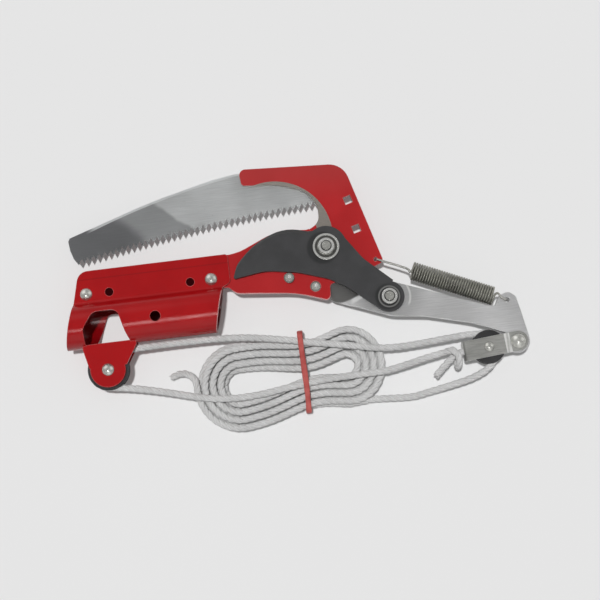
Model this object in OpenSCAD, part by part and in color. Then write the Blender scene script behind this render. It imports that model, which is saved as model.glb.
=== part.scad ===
// Rope-driven tree pruner head with a pruning saw, lying on its back.
// X runs along the pole, from the pole's end of the socket to the head. Z is up, off the table.
// The origin is on the pole axis, at the mouth of the socket.

/* [Main sizes] */
// Distance along the pole from the end of the socket's tube to the jaw's pivot
pivot_reach = 76.8; // [70:0.2:84]
// Height of the jaw's pivot above the pole axis
pivot_rise = 33.5; // [30:0.5:37]

/* [Pole socket] */
// Inner diameter of the socket tube
bore_d = 27; // [24:0.5:30]
// Thickness of the rolled sheet
sheet_t = 2; // [1.5:0.25:2.5]
// Length of the socket tube
tube_len = 102; // [95:1:108]
// Slant of the socket's two ends, as length for each unit of height
end_slant = 0.25; // [0:0.05:0.3]
// Height of the flange's top edge above the pole axis
flange_top = 37; // [34:0.5:40]
// Gap between the flange's end and the tip of the open blade
flange_gap = 2.1; // [1:0.1:4]
// Diameter of the hole for the pole's screw
pole_screw_d = 7; // [5:0.5:8]
// Diameter of the two shallow flange holes
flange_hole_d = 5.6; // [4:0.2:7]
// Diameter of the socket rivets' domed heads
rivet_head_d = 8.6; // [7:0.2:11]
// Diameter of the socket rivets' shanks
rivet_d = 5; // [4:0.5:6]

/* [Socket pulley] */
// Outer diameter of the socket sheave
socket_sheave_d = 28; // [25:0.5:29]
// Width of both sheaves
sheave_w = 8; // [7:0.25:9]
// Gap between a sheave and the plates beside it
sheave_gap = 0.5; // [0.3:0.1:0.8]
// Diameter of both sheave axles
axle_d = 5; // [4:0.5:6]
// Radius of the ears round the sheave's axle
ear_r = 12; // [10:0.5:13]

/* [Plates] */
// Thickness of the hook plate
plate_t = 5; // [4:0.25:6]
// Thickness of the cutting blade
blade_t = 4; // [3:0.25:5]
// Thickness of the lever
lever_t = 4; // [3.5:0.25:5]
// Running gap between the moving plates
run_gap = 0.3; // [0.2:0.05:0.5]
// Radius of the step where the lever clears the hook plate
step_r = 39.8; // [39.5:0.1:41]
// Width of the wall that joins the lever's two levels
step_w = 4; // [3.5:0.25:5]
// Side of the square holes for the saw's bolts
saw_hole = 5.2; // [4:0.1:7]

/* [Fasteners] */
// Diameter of the pivot bolt and the link bolt
bolt_d = 6; // [5:0.5:7]
// Radial clearance of bolts, axles and rivets in their holes
fit = 0.05; // [0.03:0.01:0.1]
// Width across the flats of the nuts
nut_af = 10.6; // [9.5:0.1:12]
// Height of the nuts
nut_h = 5; // [4:0.25:6]
// Outer diameter of the pivot washers
washer_d = 18; // [15:0.5:20]
// Thickness of the pivot washers
washer_t = 1.6; // [1:0.1:2]
// Height of the pivot bolt's hexagonal head
head_h = 4.4; // [3.5:0.1:5]
// Diameter of the stop pin and of the flush rivet beside it
stop_d = 7; // [6:0.25:8]

/* [Saw] */
// Thickness of the saw blade
saw_t = 1.5; // [1.2:0.1:2]
// Spacing of the saw's teeth
tooth_pitch = 4; // [3.5:0.25:6]
// Depth of the saw's teeth
tooth_depth = 3.6; // [2:0.2:4]
// Diameter of the saw's screws
saw_screw_d = 4; // [3:0.5:5]

/* [Pulley block] */
// Outer diameter of the block's sheave
block_sheave_d = 23; // [21:0.5:23.5]
// Thickness of the strap
strap_t = 1.5; // [1:0.1:2]
// Width of the strap
strap_w = 13.4; // [11:0.2:14]
// Diameter of the swivel rivet
swivel_d = 6; // [5:0.5:7]
// Diameter of the swivel rivet's domed heads
swivel_head_d = 10.4; // [9:0.1:10.6]

/* [Return spring] */
// Diameter of the spring's wire
wire_d = 1.6; // [1.2:0.1:1.7]
// Outer diameter of the coils
coil_d = 13; // [11:0.5:14]
// Number of turns
coil_turns = 33; // [24:1:33]

/* [Rope] */
// Diameter of the rope
rope_d = 5; // [4:0.25:5.2]
// Spacing of neighbouring loops in the hank
loop_pitch = 5.4; // [5.3:0.1:5.5]
// Thickness of the rubber tie
tie_t = 1.2; // [0.8:0.1:1.2]
// Width of the rubber tie
tie_w = 4; // [3:0.5:6]

/* [Hidden] */

$fn = 64;

// Levels, measured from the pole axis
tube_r = bore_d / 2 + sheet_t;
table = -tube_r;
plate_top = plate_t / 2;
plate_back = -plate_t / 2;
blade_back = plate_top + run_gap;
blade_front = blade_back + blade_t;
lever_high = blade_back;
arm_back = lever_high - lever_t;
lever_low = plate_back - run_gap;
lever_back = lever_low - lever_t;
arm_mid = (lever_high + arm_back) / 2;
nut_seat = blade_front + washer_t;
saw_back = plate_back - saw_t;

// Places in the plan
pivot = [tube_len + pivot_reach, pivot_rise];
// The head's outlines are drawn for a pivot at 178.8, 33.5 and go where the pivot goes
head = pivot - [178.8, 33.5];
function on_head(p) = p + (len(p) == 2 ? head : [head.x, head.y, 0]);
function all_on_head(points) = [for (p = points) on_head(p)];
link = on_head([217.2, -5.4]);
lobe = on_head([300.6, -45.8]);
socket_axle_at = [22.4, -31.5];
spring_foot = on_head([211.6, 21.3]);
spring_ear = on_head([296.6, -17.2]);
stop_at = on_head([151.3, 15.6]);
strip_rivet_at = on_head([168.6, 7.8]);
rivet_left_at = [13, 21.2];
saw_screws = all_on_head([[146, 87], [176, 82]]);
blade_tip = on_head([113.6, 19]);
flange_end = blade_tip.x - flange_gap;
rivet_right_at = [flange_end - 13, 21.2];
flange_holes = [[28.8, 21], [flange_end - 27.3, 21]];
saw_holes = all_on_head([[197.7, 64.2], [201, 43.8]]);
shank_bottom = tube_r - 1.2;

// Pulley block, turned a little about the swivel rivet
block_turn = 4.4;
block_reach = 20.7;
block_axle_at = lobe - block_reach * [cos(block_turn), sin(block_turn)];
cheek = sheave_w / 2 + sheave_gap;
web_x = -37.8;

rope_r = rope_d / 2;
groove = rope_r + 0.1;

// Helpers for outlines, whose corners are [x, y, radius]
function unit(v) = v / norm(v);
function xy(p) = [p.x, p.y];
function turn(from, to) = let (d = to - from) d > 180 ? d - 360 : d < -180 ? d + 360 : d;
function corner(a, b, c, r) =
    let (
        u = unit(a - b),
        w = unit(c - b),
        half = acos(u * w) / 2,
        centre = b + unit(u + w) * r / sin(half),
        p = b + u * r / tan(half) - centre,
        q = b + w * r / tan(half) - centre,
        start = atan2(p.y, p.x),
        sweep = turn(start, atan2(q.y, q.x)),
        steps = max(2, ceil(abs(sweep) / 9))
    )
    [for (i = [0:steps]) centre + r * [cos(start + sweep * i / steps), sin(start + sweep * i / steps)]];
function outline(corners) =
    let (n = len(corners))
    [for (i = [0:n - 1])
        let (b = corners[i], a = corners[(i + n - 1) % n], c = corners[(i + 1) % n])
        each b[2] == 0 ? [xy(b)] : corner(xy(a), xy(b), xy(c), b[2])];

// Helpers for tubes swept along points
function way(points, i) = unit(points[min(i + 1, len(points) - 1)] - points[max(i - 1, 0)]);
function across(t) = unit(cross(t, abs(t.z) < 0.9 ? [0, 0, 1] : [1, 0, 0]));
function square_to(n, t) = unit(n - (n * t) * t);
function sides_of(ways) =
    [for (i = 0, n = across(ways[0]); i < len(ways); i = i + 1,
        n = i < len(ways) ? square_to(n, ways[i]) : n) n];
module tube(points, r, sides) {
    count = len(points);
    ways = [for (i = [0:count - 1]) way(points, i)];
    normals = sides_of(ways);
    rings = [for (i = [0:count - 1], j = [0:sides - 1])
        points[i] + r * (cos(360 * j / sides) * normals[i] + sin(360 * j / sides) * cross(ways[i], normals[i]))];
    skin = [for (i = [0:count - 2], j = [0:sides - 1])
        let (k = (j + 1) % sides, a = i * sides, b = a + sides)
        each [[a + j, b + j, a + k], [a + k, b + j, b + k]]];
    first = [for (j = [1:sides - 2]) [0, j, j + 1]];
    last = (count - 1) * sides;
    end = [for (j = [1:sides - 2]) [last, last + j + 1, last + j]];
    polyhedron(points = rings, faces = concat(skin, first, end));
}

// A smooth curve through hand-chosen points, in equal steps between them
function bend(p, q, r, s, f) =
    0.5 * (2 * q + (r - p) * f + (2 * p - 5 * q + 4 * r - s) * f * f + (3 * q - p - 3 * r + s) * f * f * f);
function smooth(points, steps) =
    let (n = len(points))
    [for (i = [0:n - 2], k = [0:steps - 1])
        bend(points[max(i - 1, 0)], points[i], points[i + 1], points[min(i + 2, n - 1)], k / steps),
        points[n - 1]];

// Least gap between stretches of one tube that lie further apart than near along it
function least_gap(points, d, near) =
    let (n = len(points))
    min([for (i = [0:n - 1], j = [i + near:n - 1]) if (j < n) norm(points[i] - points[j])]) - d;

module plate(corners, back, front) {
    translate([0, 0, back])
        linear_extrude(front - back)
            polygon(outline(corners));
}

module disc(at, r, back, front) {
    translate([at.x, at.y, back])
        cylinder(r = r, h = front - back);
}

module rivet(at, back, front, shank_d, dome_d) {
    // A shank with a shallow domed head at each end
    rise = dome_d * 0.28;
    ball = (dome_d * dome_d / 4 + rise * rise) / (2 * rise);
    disc(at, shank_d / 2, back, front);
    for (end = [[front, 1], [back, -1]]) {
        translate([at.x, at.y, end[0]])
            scale(1)
                intersection() {
                    translate([0, 0, end[1] * (rise - ball)])
                        sphere(r = ball);
                    translate([0, 0, end[1] > 0 ? 0 : -rise])
                        cylinder(r = dome_d / 2, h = rise);
                }
    }
}

module sheave(at, mid, d) {
    // A grooved wheel, with a running bore
    rim = d / 2;
    root = rim - rope_d + 0.4;
    half = sheave_w / 2;
    translate([at.x, at.y, mid])
        rotate_extrude()
            difference() {
                translate([axle_d / 2 + fit, -half])
                    square([rim - axle_d / 2 - fit, sheave_w]);
                translate([root + groove, 0])
                    circle(r = groove);
                polygon([[root + groove, -groove], [rim + 1, -half + 0.8], [rim + 1, half - 0.8],
                    [root + groove, groove]]);
            }
}

module nut(at, seat) {
    difference() {
        intersection() {
            translate([at.x, at.y, seat])
                rotate(20)
                    cylinder(d = nut_af / cos(30), h = nut_h, $fn = 6);
            translate([at.x, at.y, seat])
                cylinder(r1 = nut_af * 0.62, r2 = nut_af * 0.5, h = nut_h);
        }
        disc(at, bolt_d / 2 + fit, seat - 1, seat + nut_h + 1);
    }
}

// Socket: a rolled tube whose two edges stand up as a doubled flange
module socket_profile() {
    fold = 3;
    fold_y = plate_top + sheet_t + fold;
    fold_x = sqrt(pow(tube_r + fold, 2) - pow(fold_y, 2));
    difference() {
        union() {
            circle(r = tube_r);
            for (side = [-1, 1]) {
                scale([1, 1])
                    translate([0, side > 0 ? plate_top : -plate_top - sheet_t])
                        square([flange_top, sheet_t]);
                difference() {
                    polygon([[fold_x, 0], [fold_x, side * fold_y],
                        [fold_x, side * fold_y] * tube_r / (tube_r + fold), [6, side * 6]]);
                    translate([fold_x, side * fold_y])
                        circle(r = fold);
                }
            }
        }
        circle(r = bore_d / 2);
        translate([0, -plate_top])
            square([flange_top + 1, plate_t]);
    }
}

// Side view of the socket: flange ends and corners
function slanted(x, y) = x + end_slant * y;
socket_side = [[slanted(0, -tube_r - 1), -tube_r - 1, 0], [slanted(tube_len, -tube_r - 1), -tube_r - 1, 0],
    [slanted(tube_len, tube_r - 1), tube_r - 1, 2], [flange_end, tube_r + 2, 4], [flange_end, flange_top, 2],
    [slanted(0, flange_top), flange_top, 8]];
notch_side = [[9.5, -tube_r - 2, 0], [41, -tube_r - 2, 0], [37.5, -8, 4], [33.5, 8, 6], [17, 8, 6],
    [9.5, -3, 6]];
notch_rear = [[14.1, -tube_r - 2, 0], [40.2, -tube_r - 2, 0], [36.7, -8, 4], [32.4, 7, 4], [24.2, 7, 5]];
ear_side = [[7, -tube_r + 2.2, 0], [43.5, -tube_r + 2.2, 0], [43.5, -tube_r - 1, 2],
    [35.5, socket_axle_at.y + 2, 0], [10, socket_axle_at.y + 2, 0], [7, -tube_r - 1, 2]];

module pole_socket() {
    color([0.62, 0.12, 0.13])
    difference() {
        union() {
            difference() {
                intersection() {
                    translate([-tube_r, 0, 0])
                        rotate([90, 0, 90])
                            linear_extrude(flange_end + tube_r)
                                socket_profile();
                    plate(socket_side, -tube_r - 1, tube_r + 1);
                }
                plate(notch_side, -4, tube_r + 1);
                plate(notch_rear, -tube_r - 1, 0);
            }
            for (back = [cheek, -cheek - sheet_t]) {
                plate(ear_side, back, back + sheet_t);
                disc(socket_axle_at, ear_r, back, back + sheet_t);
            }
        }
        disc([58.9, 0], pole_screw_d / 2, 0, tube_r + 1);
        for (at = [rivet_left_at, rivet_right_at]) {
            disc(at, rivet_d / 2 + fit, -tube_r, tube_r);
        }
        for (at = flange_holes) {
            disc(at, flange_hole_d / 2, plate_top - 1, tube_r);
        }
        disc(socket_axle_at, axle_d / 2 + fit, -tube_r, tube_r);
    }
}

module socket_rivet_left() {
    color([0.66, 0.66, 0.62])
        rivet(rivet_left_at, -plate_top - sheet_t, plate_top + sheet_t, rivet_d, rivet_head_d);
}

module socket_rivet_right() {
    color([0.66, 0.66, 0.62])
        rivet(rivet_right_at, -plate_top - sheet_t, plate_top + sheet_t, rivet_d, rivet_head_d);
}

module socket_axle() {
    color([0.66, 0.66, 0.62])
        rivet(socket_axle_at, -cheek - sheet_t, cheek + sheet_t, axle_d, rivet_head_d);
}

module socket_sheave() {
    color([0.2, 0.2, 0.2])
        sheave(socket_axle_at, 0, socket_sheave_d);
}

// Hook plate: shank, strip, tail and hook in one piece
hook_side = concat([[5, shank_bottom, 2], [flange_end - 1.5, shank_bottom, 4]],
    all_on_head([[114, 9.3, 8], [155, 4.8, 60], [177.8, -3.4, 3], [178.6, 8, 3], [206, 15.2, 6], [216.9, 19, 3.2],
        [197.2, 89.6, 14], [125.6, 94, 4], [126.6, 82.6, 2.5], [151.3, 80.4, 40], [168.6, 74.4, 16],
        [176.8, 63.5, 12], [176.4, 51.5, 8], [168, 47, 8], [156, 48.2, 30], [142, 47, 30], [120, 37.6, 30]]),
    [[flange_end + 1, flange_top - 0.4, 0], [9, flange_top - 0.5, 8]]);
// The bevel is part of a shallow cone, which runs out along the mouth
bevel_at = on_head([145.0, 43.5]);
bevel_r = 39.7;
bevel_w = 10;
bevel_h = 2.9;

module hook_body() {
    color([0.63, 0.18, 0.19])
    difference() {
        plate(hook_side, plate_back, plate_top);
        // Ground bevel along the mouth, on the front
        translate([0, 0, plate_top - bevel_h])
            intersection() {
                linear_extrude(bevel_h + 0.29)
                    polygon(all_on_head([[128, 96], [196, 86], [192, 44.6], [171, 44.6], [160, 60], [128, 76]]));
                translate([bevel_at.x, bevel_at.y, 0])
                    cylinder(r1 = bevel_r - bevel_w, r2 = bevel_r + bevel_w * 0.1, h = bevel_h * 1.1);
            }
        disc(pivot, bolt_d / 2 + fit, -9, 9);
        disc(spring_foot, wire_d / 2 + 0.6, -9, 9);
        disc(stop_at, stop_d / 4 + fit, -9, 9);
        disc(strip_rivet_at, stop_d / 2 + fit, -9, 9);
        for (at = [rivet_left_at, rivet_right_at]) {
            disc(at, rivet_d / 2 + fit, -9, 9);
        }
        for (at = saw_screws) {
            disc(at, saw_screw_d / 2 + fit, plate_back - 1, plate_top - 1);
        }
        for (at = saw_holes) {
            translate([at.x, at.y, 0])
                rotate(15)
                    cube([saw_hole, saw_hole, 2 * plate_t], center = true);
        }
    }
}

module stop_pin() {
    color([0.66, 0.66, 0.62]) {
        disc(stop_at, stop_d / 4, plate_back, plate_top);
        disc(stop_at, stop_d / 2, plate_top, blade_front - 1);
    }
}

module strip_rivet() {
    color([0.66, 0.66, 0.62])
        disc(strip_rivet_at, stop_d / 2, plate_back, plate_top);
}

// Saw: a long tapered blade with a toothed lower edge
tooth_from = on_head([9.3, 42.6]);
tooth_to = on_head([180, 63.5]);
tooth_count = floor((tooth_to.x - tooth_from.x) / tooth_pitch);
function tooth_line(f) = tooth_from + f * (tooth_to - tooth_from) + [0, 3 * sin(180 * f)];
saw_back_edge = all_on_head([[186, 64.5], [189, 70], [184, 86.8], [150, 91.4], [122, 92], [106.5, 89.8],
    [90.5, 86.2], [70, 81.4], [54, 77], [30.5, 69.6], [5, 61.6], [3.9, 59.4], [4.6, 53],
    [6.4, 47.2]]);

module saw_blade() {
    color([0.57, 0.58, 0.57])
    difference() {
        translate([0, 0, saw_back])
            linear_extrude(saw_t)
                polygon(concat(saw_back_edge, [for (i = [0:tooth_count - 1]) each
                    [tooth_line(i / tooth_count), tooth_line((i + 0.62) / tooth_count) + [0, tooth_depth]]],
                    [tooth_to]));
        for (at = saw_screws) {
            disc(at, saw_screw_d / 2 + fit, saw_back - 1, plate_back + 1);
        }
    }
}

module saw_screw(at) {
    color([0.6, 0.6, 0.6])
    difference() {
        union() {
            disc(at, saw_screw_d / 2, saw_back, plate_top - 1.3);
            translate([at.x, at.y, saw_back - 2.4])
                cylinder(r1 = saw_screw_d * 0.75, r2 = saw_screw_d, h = 2.4);
        }
        translate([at.x, at.y, saw_back - 2.4])
            cube([saw_screw_d * 3, 1, 2], center = true);
    }
}

module saw_screw_tip() {
    saw_screw(saw_screws[0]);
}

module saw_screw_heel() {
    saw_screw(saw_screws[1]);
}

// Cutting blade with its tail
blade_side = concat([[blade_tip.x, blade_tip.y, 1]], all_on_head([[117, 28.5, 12], [131, 42, 50], [152, 50, 30],
    [170, 45, 8], [178.8, 47.7, 0], [188, 44.3, 6], [203, 22.4, 20], [221.2, 5.5, 0], [217.2, -5.4, 0], [210.2, -13.2, 0],
    [190.6, 3.9, 40], [178, 11.6, 30], [157.7, 18.4, 30], [136, 22.2, 40]]));
boss_r = 14.2;
link_boss_r = 10.4;

module cutter_blade() {
    color([0.26, 0.26, 0.26])
    difference() {
        union() {
            plate(blade_side, blade_back, blade_front);
            disc(pivot, boss_r, blade_back, blade_front);
            disc(link, link_boss_r, blade_back, blade_front);
        }
        disc(pivot, bolt_d / 2 + fit, -20, 20);
        disc(link, bolt_d / 2 + fit, -20, 20);
        // Ground bevel along the convex edge, on the front
        translate([head.x + 151, head.y, blade_back + 1])
            difference() {
                translate([-40, 15, 0])
                    cube([57, 45, 6]);
                translate([2.5, 2.5, -1])
                    cylinder(r1 = 49.5, r2 = 37.5, h = 8);
            }
    }
}

// Lever: behind the hook plate at the pivot, stepped up to the blade's level past it
lever_side = all_on_head([[189, 33, 0], [204, 12, 10], [224.4, 3.4, 16], [284, -19.4, 2], [288, -20.4, 2],
    [291.6, -13.6, 3], [298, -11.4, 4], [303, -15.4, 4], [305.6, -28, 30], [308.4, -44, 0], [300.6, -45.8, 0],
    [293.4, -49, 0], [292.8, -39.2, 2], [271.6, -30, 30], [241, -21.6, 30], [217.7, -18.6, 25],
    [178.5, -3, 5], [166, 30, 0]]);
lobe_r = 8;
spring_hole_r = wire_d / 2 + 1;

module lever_plan() {
    polygon(outline(lever_side));
    translate(pivot)
        circle(r = boss_r - 1);
    translate(lobe)
        circle(r = lobe_r);
}

module lever() {
    color([0.63, 0.63, 0.63])
    difference() {
        union() {
            translate([0, 0, lever_back])
                linear_extrude(lever_t)
                    intersection() {
                        lever_plan();
                        translate(pivot)
                            circle(r = step_r + step_w);
                    }
            translate([0, 0, lever_back])
                linear_extrude(lever_high - lever_back)
                    intersection() {
                        lever_plan();
                        translate(pivot)
                            difference() {
                                circle(r = step_r + step_w);
                                circle(r = step_r);
                            }
                    }
            translate([0, 0, arm_back])
                linear_extrude(lever_t)
                    difference() {
                        lever_plan();
                        translate(pivot)
                            circle(r = step_r);
                    }
        }
        disc(pivot, bolt_d / 2 + fit, -20, 20);
        disc(link, bolt_d / 2 + fit, -20, 20);
        translate([link.x, link.y, arm_back - 0.01])
            cylinder(r1 = bolt_d + fit, r2 = bolt_d / 2 + fit, h = bolt_d / 2);
        disc(lobe, swivel_d / 2 + fit, -20, 20);
        disc(spring_ear, spring_hole_r, -20, 20);
    }
}

module pivot_bolt() {
    color([0.6, 0.6, 0.58]) {
        disc(pivot, bolt_d / 2, lever_back - washer_t, nut_seat + nut_h + 1.5);
        translate([pivot.x, pivot.y, lever_back - washer_t - head_h])
            rotate(10)
                cylinder(d = nut_af / cos(30), h = head_h, $fn = 6);
    }
}

module pivot_nut() {
    color([0.66, 0.66, 0.62])
        nut(pivot, nut_seat);
}

module washer(at, back) {
    difference() {
        disc(at, washer_d / 2, back, back + washer_t);
        disc(at, bolt_d / 2 + fit, back - 1, back + washer_t + 1);
    }
}

module pivot_washer_front() {
    color([0.5, 0.5, 0.48])
        washer(pivot, blade_front);
}

module pivot_washer_rear() {
    color([0.5, 0.5, 0.48])
        washer(pivot, lever_back - washer_t);
}

module link_bolt() {
    color([0.6, 0.6, 0.58]) {
        disc(link, bolt_d / 2, arm_back, blade_front + nut_h + 1);
        translate([link.x, link.y, arm_back])
            cylinder(r1 = bolt_d, r2 = bolt_d / 2, h = bolt_d / 2);
    }
}

module link_nut() {
    color([0.66, 0.66, 0.62])
        nut(link, blade_front);
}

// Return spring: one wire from the hook plate's tail to the lever's ear
spring_way = unit(spring_ear - spring_foot);
coil_from = 26;
coil_to = 84;
coil_r = (coil_d - wire_d) / 2;
spring_mid = 0.4;
spring_over = max(plate_top, lever_high) + wire_d / 2 + 0.4;
function on_spring(s, side, up) =
    [spring_foot.x + s * spring_way.x - side * spring_way.y,
        spring_foot.y + s * spring_way.y + side * spring_way.x, up];
coil_points = [for (i = [0:coil_turns * 8])
    on_spring(coil_from + (coil_to - coil_from) * i / (coil_turns * 8),
        coil_r * sin(45 * i), spring_mid + coil_r * cos(45 * i))];
spring_span = norm(spring_ear - spring_foot);
spring_points = concat(
    [on_spring(0, 0, plate_back - 1.6), on_spring(0, 0, plate_back), on_spring(0, 0, plate_top - 1),
        on_spring(0.6, 0, spring_over - 0.9), on_spring(2.2, 0, spring_over),
        on_spring(4, 0, spring_over), on_spring(22, 0, spring_over + 0.4),
        on_spring(24.4, -2, spring_mid + coil_r - 0.6)],
    coil_points,
    [on_spring(coil_to + 1.8, 2.4, spring_over + 0.6), on_spring(spring_span - 4, 0.4, spring_over),
        on_spring(spring_span - 2.2, 0, spring_over), on_spring(spring_span - 0.6, 0, spring_over - 0.9),
        on_spring(spring_span, 0, lever_high - 1), on_spring(spring_span, 0, arm_back),
        on_spring(spring_span, 0, arm_back - 1.6)]);
echo(spring_gap = least_gap(coil_points, wire_d, 5));

module return_spring() {
    color([0.53, 0.53, 0.5])
        tube(spring_points, wire_d / 2, 6);
}

// Pulley block: a bent strap round its sheave, pinned to the lever's lobe
leg = lever_t / 2 + 0.15;
strap_leg = [[web_x, 0, 0], [web_x, cheek + strap_t, 2], [-9.4, cheek + strap_t, 1], [-5.4, leg + strap_t, 1],
    [9, leg + strap_t, 0], [9, leg, 0], [-6, leg, 1], [-10, cheek, 1], [web_x + strap_t, cheek, 0.8],
    [web_x + strap_t, 0, 0]];

module in_block() {
    translate([lobe.x, lobe.y, arm_mid])
        rotate(block_turn)
            children();
}

module block_strap() {
    color([0.55, 0.55, 0.54])
    in_block()
        difference() {
            intersection() {
                for (side = [0, 1]) {
                    mirror([0, 0, side])
                        rotate([90, 0, 0])
                            translate([0, 0, -strap_w / 2])
                                linear_extrude(strap_w)
                                    polygon(outline(strap_leg));
                }
                union() {
                    translate([web_x - 1, -strap_w / 2 - 1, -20])
                        cube([-web_x + 1, strap_w + 2, 40]);
                    translate([0, 0, -20])
                        cylinder(r = strap_w / 2 + 0.01, h = 40);
                }
            }
            translate([0, 0, -20])
                cylinder(r = swivel_d / 2 + fit, h = 40);
            translate([-block_reach, 0, -20])
                cylinder(r = axle_d / 2 + fit, h = 40);
            translate([web_x - 1, 0, 0])
                rotate([0, 90, 0])
                    cylinder(r = rope_r + 0.3, h = strap_t + 2);
        }
}

module block_sheave() {
    color([0.2, 0.2, 0.2])
        sheave(block_axle_at, arm_mid, block_sheave_d);
}

module block_axle() {
    color([0.66, 0.66, 0.64])
        rivet(block_axle_at, arm_mid - cheek - strap_t, arm_mid + cheek + strap_t, axle_d, axle_d * 1.4);
}

module swivel_rivet() {
    color([0.66, 0.66, 0.64])
        rivet(lobe, arm_mid - leg - strap_t, arm_mid + leg + strap_t, swivel_d, swivel_head_d);
}

// Hank: loops that spiral in on the lower layer, climb along a run and spiral out on the upper one
hank_at = [145, -50];
hank_turn = 4;
hank_run = 70;
hank_r = 30;
hank_waist = 7;
waist_x = 13;
loop_len = 2 * hank_run + 2 * PI * (hank_r - 2 * loop_pitch);
run_share = hank_run / loop_len;
bend_share = 0.5 - run_share;
hank_turns = 7 + run_share + bend_share / 2;
layer = rope_d + 0.5;
hank_low = table + tie_t + 0.3 + rope_r;
hank_top = hank_low + layer + rope_r;
function drawn(x) = hank_waist * exp(-pow((x - waist_x) / 26, 2));
function stadium(f, r) =
    f < run_share ? [hank_run / 2 - hank_run * f / run_share, -r]
    : f < 0.5 ? let (a = 270 - 180 * (f - run_share) / bend_share)
        [-hank_run / 2 + r * cos(a), r * sin(a)]
    : f < 0.5 + run_share ? [-hank_run / 2 + hank_run * (f - 0.5) / run_share, r]
    : let (a = 90 - 180 * (f - 0.5 - run_share) / bend_share)
        [hank_run / 2 + r * cos(a), r * sin(a)];
climb_mid = 3.5 + run_share / 2;
function climb(u) =
    let (f = (u - climb_mid) / (run_share * 0.9) + 0.5) f < 0 ? 0 : f > 1 ? 1 : (1 - cos(180 * f)) / 2;
function hank_local(u) =
    let (
        k = u < hank_turns / 2 ? u : hank_turns - u,
        p = stadium(u - floor(u), hank_r - loop_pitch * k),
        pull = p.y > 0 ? -drawn(p.x) : drawn(p.x),
        edge = min(1, abs(p.y) / 3)
    )
    [p.x, p.y + pull * edge, hank_low + layer * climb(u)];
function place(p) =
    [hank_at.x + p.x * cos(hank_turn) - p.y * sin(hank_turn),
        hank_at.y + p.x * sin(hank_turn) + p.y * cos(hank_turn), p.z];
hank_rings = round(hank_turns * 24);
hank_first = hank_local(0) + [rope_d, 0, 0];
hank_last = hank_local(hank_turns) + [0, rope_d, 0];
hank_path = [for (p = concat([hank_first], [for (i = [0:hank_rings]) hank_local(hank_turns * i / hank_rings)],
    [hank_last])) place(p)];
echo(hank_gap = least_gap(hank_path, rope_d, 6));

module rope_hank() {
    color([0.72, 0.72, 0.7])
        tube(hank_path, rope_r, 6);
}

// Free stretches of the rope, in points chosen by hand
hank_in = place(hank_first);
hank_out = place(hank_last);
along = [cos(hank_turn), sin(hank_turn), 0];
upright = [-sin(hank_turn), cos(hank_turn), 0];
over_hank = hank_top + 0.4 + rope_r;
split_x = 154;
upper_split = [split_x, -28, over_hank];
lower_split = [split_x, -57, over_hank];
wrap_r = socket_sheave_d / 2 - rope_d + 0.4 + groove + 0.05;
block_wrap_r = block_sheave_d / 2 - rope_d + 0.4 + groove + 0.05;
socket_wrap = [for (a = [96:21:264])
    [socket_axle_at.x + wrap_r * cos(a), socket_axle_at.y + wrap_r * sin(a), 0]];
block_wrap = [for (a = [96:-24:-72])
    [block_axle_at.x + block_wrap_r * cos(a), block_axle_at.y + block_wrap_r * sin(a), arm_mid]];
socket_bight = concat(
    [upper_split, [148, -26.6, over_hank], [136, -24.2, over_hank], [120, -21.4, over_hank],
        [104, -19.8, over_hank], [88, -19.2, over_hank], [74, -19, -0.4], [60, -19, -0.2], [46, -19.2, 0],
        [36, -19.3, 0], [28, -19.4, 0]],
    socket_wrap,
    [[28, -44.4, 0], [38, -46.2, 0], [52, -49.4, -0.2], [64, -52.6, -0.4], [76, -56, over_hank],
        [90, -59.4, over_hank], [106, -61, over_hank], [124, -60.4, over_hank], [138, -58.6, over_hank],
        [148, -57.6, over_hank], lower_split]);
block_bight = concat(
    [upper_split, [160, -29.4, over_hank], [168, -31, over_hank], [180, -33.4, over_hank], [192, -36, over_hank]],
    all_on_head([[204, -38.6, over_hank], [218, -39.8, over_hank], [234, -39.4, 0], [250, -38.4, 0.6],
        [264, -37.6, 0.8], [273, -37.8, arm_mid]]),
    block_wrap,
    all_on_head([[281.6, -58.6, arm_mid], [276, -63, 0], [266, -67, -1.6], [252, -70, -4], [238, -72.4, -7],
        [224, -74.4, -9.8]]),
    [hank_in + 2.4 * rope_d * along, hank_in + 1.2 * rope_d * along, hank_in]);
becket_run = concat(
    [lower_split, [160, -56.4, over_hank], [168, -55.8, over_hank], [180, -55.4, over_hank], [194, -55.2, over_hank]],
    all_on_head([[208, -55, over_hank], [222, -52.8, 0.6], [236, -49.9, 0.8], [242, -48.9, 0.8], [248, -47.9, 0.8]]));
knot_from = on_head([248, -47.9, 0.8]);
knot_points = all_on_head([[249.8, -47.6, 0.8], [252.4, -47, 2.6], [255.4, -46.9, 5.2], [258.9, -51.4, 4.8],
    [258.6, -57, 2.4], [258.2, -57.6, -1.8], [258.2, -53.4, -4.6], [259, -49.4, -2.6], [262, -48.75, 0.4],
    [264.6, -48.6, 0.8], [266.2, -48.5, 0.8]]);
bitter_points = all_on_head([[256.6, -50.6, -0.8], [251, -55, -0.2], [246.8, -58.6, 0.2], [242.4, -62.6, 0.4]]);
tail_points = concat([hank_out + rope_r * upright],
    [for (p = [[-1.4, 5.2, -0.4], [-3.4, 7.6, -1.2], [-6.2, 9.3, -2.6], [-9.8, 10, -4.4], [-13.4, 9.4, -6.2],
        [-17, 7.8, -6.9]]) hank_out + p]);

module rope_socket_bight() {
    color([0.78, 0.78, 0.76])
        tube(socket_bight, rope_r, 8);
}

module rope_block_bight() {
    color([0.78, 0.78, 0.76])
        tube(block_bight, rope_r, 8);
}

module rope_becket_run() {
    color([0.78, 0.78, 0.76])
        tube(becket_run, rope_r, 8);
}

module rope_knot() {
    color([0.72, 0.72, 0.7])
        tube(concat([knot_from], smooth(knot_points, 2)), rope_r, 8);
}

module rope_bitter_end() {
    color([0.72, 0.72, 0.7])
        tube(bitter_points, rope_r, 8);
}

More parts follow.
